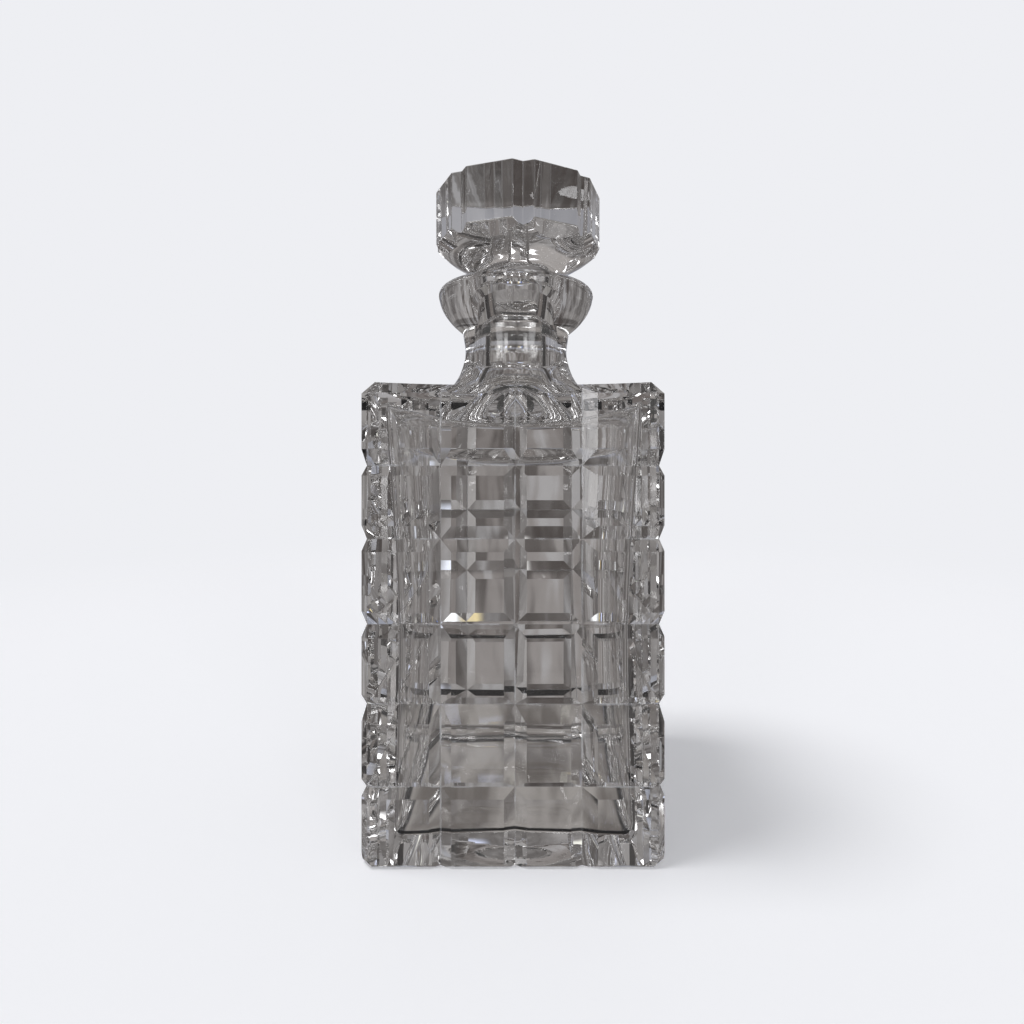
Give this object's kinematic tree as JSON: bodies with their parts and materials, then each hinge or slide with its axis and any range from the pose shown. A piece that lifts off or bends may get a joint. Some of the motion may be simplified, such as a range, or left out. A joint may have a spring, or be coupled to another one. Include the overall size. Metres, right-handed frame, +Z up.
{
  "type": "decanter",
  "caption": "Square cut crystal decanter with grid-cut faces, a flared lip and an octagonal lift-out stopper.",
  "frame": {"origin": "centre of the base, on the surface the decanter stands on", "axes": "+Z up through the neck and stopper, front face towards -Y, +X to the right seen from the front"},
  "size_m": [0.0954, 0.0954, 0.2294],
  "materials": {
    "crystal_body": "clear crystal, cut and polished",
    "crystal_stopper": "clear crystal, cut and polished, peg ground to fit"
  },
  "bodies": {
    "bottle": {"decanter_body": "crystal_body"},
    "stopper": {"stopper": "crystal_stopper"}
  },
  "joints": [
    {"name": "stopper_lift", "type": "slide", "parent": "bottle", "child": "stopper", "axis": [0, 0, 1], "range_m": [0, 0.09]}
  ]
}
